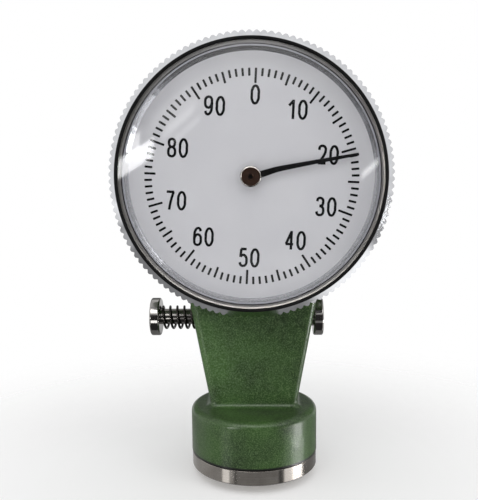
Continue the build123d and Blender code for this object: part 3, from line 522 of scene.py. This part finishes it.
makeNeedleBlade(needleBlade)
print("needle done")


def spinAboutDial(bm, points, steps, closed):  # turns a section of radius and depth about the dial's axis
    section = [bm.verts.new((r * mm, y * mm, dialCentre[2] * mm)) for r, y in points]
    following = section[1:] + section[:1] if closed else section[1:]
    edges = [bm.edges.new(pair) for pair in zip(section, following)]
    bmesh.ops.spin(bm, geom=section + edges, cent=Vector(dialCentre) * mm, axis=(0, 1, 0), angle=2 * math.pi,
                   steps=steps, use_merge=True)


# Domed window, turned from one half of its section
domeWindow = dict(
    radius=27.96, seat=27.58, back=-15.02, edge=-16.02, crown=-18.62, thickness=1.4, steps=160, rings=20,
)


def makeDomeWindow(s):
    def dome(radius, crown, edge, count):  # points of an arc from the crown to the edge
        rise = edge - crown
        bend = (radius ** 2 + rise ** 2) / (2 * rise)
        return [(radius * k / count, crown + bend - math.sqrt(bend ** 2 - (radius * k / count) ** 2))
                for k in range(count + 1)]
    front = dome(s["radius"], s["crown"], s["edge"], s["rings"])
    rear = dome(s["seat"], s["crown"] + s["thickness"], s["back"], s["rings"])
    bm = bmesh.new()
    spinAboutDial(bm, front + [(s["radius"], s["back"])] + rear[::-1], s["steps"], closed=False)
    piece = newPiece("domeWindow", bm, acrylic, smoothAngle=30)
    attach(piece, "bezel_set")
    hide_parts("crystal")


makeDomeWindow(domeWindow)
print("window done")


# Rubber ring around the window, squeezed until it bulges over both edges
bulgedGasket = dict(
    inner=27.98, outer=28.40, back=-15.3, steps=180,
    bulge=[(27.84, -16.08), (27.87, -16.22), (27.98, -16.36), (28.16, -16.42), (28.36, -16.41),
           (28.49, -16.36), (28.55, -16.28)],
)


def makeBulgedGasket(s):
    bm = bmesh.new()
    points = [(s["inner"], s["back"])] + s["bulge"] + [(s["outer"], s["back"])]
    spinAboutDial(bm, points, s["steps"], closed=True)
    piece = newPiece("bulgedGasket", bm, coats["moulded_black_rubber"], smoothAngle=50)
    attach(piece, "bezel_set")
    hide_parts("crystal_gasket")


makeBulgedGasket(bulgedGasket)
print("gasket done")


# Springs, each wound in one smooth coil eased flat at both ends: the lock's is carried with the case,
# and the measuring spring stays as it is wound
lockCoil = dict(
    axis=(1, 0, 0), across=(0, 1, 0), centre=(-21.855, lockCentre[1], lockCentre[2] - 0.2), rise=8.06,
    radius=2.58, wire=0.58, turns=5, ease=0.25, sides=12, stepsPerTurn=40,
    fixedEnd=-13.5, length=8.65, travel=3.0,
)
mainCoil = dict(
    axis=(0, 0, 1), across=(1, 0, 0), centre=(0, 0, 1.563), rise=8.267,
    radius=2.55, wire=0.7, turns=5.5, ease=0.25, sides=12, stepsPerTurn=40,
    seats=(1.213, 10.18),
)


def windCoil(s):
    bm = bmesh.new()
    axis, across, centre = Vector(s["axis"]), Vector(s["across"]), Vector(s["centre"])
    facing = axis.cross(across).to_track_quat("Z", "Y").to_matrix().to_4x4()
    bmesh.ops.create_circle(bm, segments=s["sides"], radius=s["wire"] / 2 * mm, matrix=facing)
    bmesh.ops.translate(bm, verts=bm.verts, vec=(centre + across * s["radius"]) * mm)
    pitch = s["rise"] / (s["turns"] - s["ease"])  # the eased ends climb at half of it
    last = list(bm.verts) + list(bm.edges)
    for turns, climb in ((s["ease"], 0.5), (s["turns"] - 2 * s["ease"], 1.0), (s["ease"], 0.5)):
        steps = round(turns * s["stepsPerTurn"])
        made = bmesh.ops.spin(bm, geom=last, cent=centre * mm, axis=axis, angle=2 * math.pi * turns,
                              steps=steps, dvec=axis * (climb * pitch * turns / steps * mm))
        last = made["geom_last"]
    bmesh.ops.holes_fill(bm, edges=bm.edges)
    return bm


def makeLockCoil(s):
    piece = newPiece("lockCoil", windCoil(s), metals["oiled_spring_steel"], smoothAngle=50)
    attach(piece, "case")
    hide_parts("lock_spring")
    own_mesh(piece)


def makeMainCoil(s):
    piece = newPiece("mainCoil", windCoil(s), metals["oiled_spring_steel"], smoothAngle=50)
    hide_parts("main_spring")
    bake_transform(piece)


makeLockCoil(lockCoil)
makeMainCoil(mainCoil)
print("springs done")


# Camera, fitted to the photograph
cameraSettings = dict(
    place=(3.11, -161.05, 67.73), pitch=6.0, yaw=2.23, roll=-0.61, lens=50.0, sensor=36.0, near=10,
)


def makeCamera(s):
    data = bpy.data.cameras.new("photoCamera")
    data.lens = s["lens"]
    data.sensor_width = s["sensor"]
    data.clip_start = s["near"] * mm
    camera = bpy.data.objects.new("photoCamera", data)
    bpy.context.scene.collection.objects.link(camera)
    turn = Matrix.Rotation(math.radians(s["yaw"]), 4, "Z")
    tilt = Matrix.Rotation(math.radians(90 - s["pitch"]), 4, "X")
    lean = Matrix.Rotation(math.radians(s["roll"]), 4, "Z")
    camera.matrix_world = Matrix.Translation(Vector(s["place"]) * mm) @ turn @ tilt @ lean
    bpy.context.scene.camera = camera


makeCamera(cameraSettings)

# Floor: a pale disc that fades into the white around it and keeps the shadow near the foot
floorSettings = dict(
    size=600, segments=96, drop=0.1, colour="#F4F4F4", roughness=0.9, lift=0.12, fadeStart=35, fadeEnd=130,
)


def makeFloor(s):
    material, tree, coords = newMaterial("pale_floor")
    away = addVectorMath(tree, "LENGTH", coords, result="Value")
    fade = addRange(tree, away, (s["fadeStart"] * mm, s["fadeEnd"] * mm), easing="SMOOTHSTEP")
    camera = addNode(tree, "ShaderNodeLightPath").outputs["Is Camera Ray"]
    board = addNode(tree, "ShaderNodeBsdfPrincipled", {
        "Base Color": linearColour(s["colour"]), "Roughness": s["roughness"], "Emission Color": (1, 1, 1, 1),
        "Emission Strength": addMath(tree, "MULTIPLY", camera, s["lift"]),
    })
    clear = addNode(tree, "ShaderNodeBsdfTransparent")
    mix = addNode(tree, "ShaderNodeMixShader", {0: fade, 1: board.outputs["BSDF"], 2: clear.outputs["BSDF"]})
    addNode(tree, "ShaderNodeOutputMaterial", {"Surface": mix.outputs["Shader"]})
    bm = bmesh.new()
    bmesh.ops.create_circle(bm, cap_ends=True, segments=s["segments"], radius=s["size"] * mm)
    mesh = bpy.data.meshes.new("floor")
    bm.to_mesh(mesh)
    bm.free()
    mesh.materials.append(material)
    floor = bpy.data.objects.new("floor", mesh)
    bpy.context.scene.collection.objects.link(floor)
    floor.location.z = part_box("plunger_head")[0].z - s["drop"] * mm
    floor.visible_glossy = floor.visible_transmission = False  # metal near it shows the room instead


makeFloor(floorSettings)

# Light: an even white room for matt surfaces, and white cards around a darker front for what reflects; a
# level below zero makes a dark flag, and the one with behindGlass is seen only by what lies behind the window
roomSettings = dict(
    matt=(0.33, 1.25), shine=0.9, ground=0.26, horizon=(-0.3, -0.1),
    front=0.04, frontSpread=(0.35, 0.8), frontTop=(0.26, 0.45),
    cards={  # degrees of azimuth from the front to the right, elevation and soft edge; lean is a slope
        "window": dict(azimuth=(-42, -24.4), elevation=(-0.4, 3.8), edge=1.6, lean=0.6, level=14.0),
        "lamp": dict(azimuth=(25.2, 29), elevation=(0.7, 2.3), edge=1.5, lean=0.82, level=9.0),
        "glow": dict(azimuth=(-22, -14), elevation=(12.2, 15.6), edge=2.8, lean=0.85, level=1.6),
        "streak": dict(azimuth=(-19.5, -13), elevation=(10.4, 12), edge=1.6, lean=0.85, level=1.7),
        "lowLeft": dict(azimuth=(-60, -46), elevation=(-38, -14), edge=2, level=1.4),
        "lowLeftEdge": dict(azimuth=(-48, -36), elevation=(-38, -14), edge=8, level=0.5),
        "lowRight": dict(azimuth=(57, 99), elevation=(-40, -17), edge=4, level=1.4),
        "lowHand": dict(azimuth=(-165, -62), elevation=(-29, -21), edge=4, level=0.25),
        "rightStrip": dict(azimuth=(74, 97), elevation=(-20.5, -12.5), edge=2, level=22.0),
        "lowGlare": dict(azimuth=(72, 112), elevation=(-66, -31), edge=8, level=1.0),
        "leftStrip": dict(azimuth=(-112, -80), elevation=(-19, -9), edge=4, level=0.6),
        "overhead": dict(azimuth=(-50, 40), elevation=(30, 53), edge=8, level=2.6),
        "rightFlag": dict(azimuth=(120, 190), elevation=(4, 42), edge=8, level=-0.7),
        "leftFlag": dict(azimuth=(-190, -120), elevation=(4, 42), edge=8, level=-0.7),
        "underFlag": dict(azimuth=(-190, 190), elevation=(-100, -48), edge=8, level=-0.24, behindGlass=True),
        "table": dict(azimuth=(-32, 46), elevation=(-31, -18), edge=4, level=0.32),
    },
)


def makeRoom(s):
    firstBounce = 0.5  # a ray that has bounced once has a depth above this
    world = bpy.data.worlds.new("studio")
    bpy.context.scene.world = world
    world.use_nodes = True
    tree = world.node_tree
    tree.nodes.clear()
    way = addNode(tree, "ShaderNodeTexCoord").outputs["Generated"]
    path = addNode(tree, "ShaderNodeLightPath").outputs
    parts = addNode(tree, "ShaderNodeSeparateXYZ", {"Vector": way}).outputs
    ahead = addMath(tree, "MULTIPLY", parts["Y"], -1.0)
    azimuth = addMath(tree, "ARCTAN2", parts["X"], ahead)
    elevation = addMath(tree, "ARCSINE", parts["Z"])
    facing = addRange(tree, addMath(tree, "COSINE", azimuth), s["frontSpread"], easing="SMOOTHSTEP")
    low = addRange(tree, parts["Z"], s["frontTop"], 1.0, 0.0, "SMOOTHSTEP")
    sky = addRange(tree, parts["Z"], s["horizon"], s["ground"], s["shine"], "SMOOTHSTEP")
    total = mixNumbers(tree, addMath(tree, "MULTIPLY", facing, low), sky, s["front"])
    glazed = addMath(tree, "GREATER_THAN", path["Transmission Depth"], firstBounce)
    for card in s["cards"].values():
        aside = addMath(tree, "SUBTRACT", azimuth, math.radians(sum(card["azimuth"]) / 2))
        tilted = addMath(tree, "MULTIPLY_ADD", aside, -card.get("lean", 0), elevation)
        above = addMath(tree, "SUBTRACT", tilted, math.radians(sum(card["elevation"]) / 2))
        inside = glazed if card.get("behindGlass") else 1.0
        for span, off in ((card["azimuth"], aside), (card["elevation"], above)):
            half = (span[1] - span[0]) / 2
            limits = [math.radians(half + side * card["edge"] / 2) for side in (-1, 1)]
            near = addRange(tree, addMath(tree, "ABSOLUTE", off), limits, 1.0, 0.0, "SMOOTHSTEP")
            inside = addMath(tree, "MULTIPLY", near, inside)
        total = addMath(tree, "MULTIPLY_ADD", inside, card["level"], total)
    direct = addMath(tree, "LESS_THAN", path["Diffuse Depth"], firstBounce)
    mirrored = addMath(tree, "MULTIPLY", path["Is Glossy Ray"], direct)
    matt = addRange(tree, ahead, (-1.0, 1.0), *s["matt"])
    reflected = mixNumbers(tree, mirrored, matt, total)
    bounces = addMath(tree, "ADD", path["Diffuse Depth"], path["Glossy Depth"])
    straight = addMath(tree, "LESS_THAN", bounces, firstBounce)
    through = addMath(tree, "MULTIPLY", path["Is Transmission Ray"], straight)
    seen = addMath(tree, "MAXIMUM", path["Is Camera Ray"], through)
    strength = mixNumbers(tree, seen, reflected, 1.0)  # plain white where the camera sees past the part
    back = addNode(tree, "ShaderNodeBackground", {"Color": (1, 1, 1, 1), "Strength": strength})
    addNode(tree, "ShaderNodeOutputWorld", {"Surface": back.outputs["Background"]})


makeRoom(roomSettings)

# Lamps: two large soft boxes, a small spot on the neck, and a card that only shiny metal on the lock shows
lampSettings = {
    "keySoftbox": dict(place=(-65, -290, 400), aim=(0, 0, 55), size=(240, 180), power=0.18),
    "rightSoftbox": dict(place=(480, -330, 420), aim=(0, 0, 55), size=(260, 260), power=0.4),
    "neckSpot": dict(place=(-110, -170, 20), aim=(-15, -10, 25), size=(10, 10), power=0.0004, spread=10),
    "lockCard": dict(place=(-33.4, -56.5, 13), aim=(-24, -1, 33.5), size=(12, 16), power=0.0018,
                     shineOnly=True),
}


def makeLamp(name, s):
    data = bpy.data.lights.new(name, "AREA")
    data.shape = "RECTANGLE"
    data.size, data.size_y = s["size"][0] * mm, s["size"][1] * mm
    data.energy = s["power"]
    data.spread = math.radians(s.get("spread", 180))
    lamp = bpy.data.objects.new(name, data)
    bpy.context.scene.collection.objects.link(lamp)
    lamp.visible_camera = lamp.visible_diffuse = not s.get("shineOnly", False)
    lamp.location = Vector(s["place"]) * mm
    lamp.rotation_euler = (Vector(s["aim"]) - Vector(s["place"])).to_track_quat("-Z", "Y").to_euler()


for name, s in lampSettings.items():
    makeLamp(name, s)
bpy.context.scene.view_settings.view_transform = "Standard"
print("camera, floor and light done")
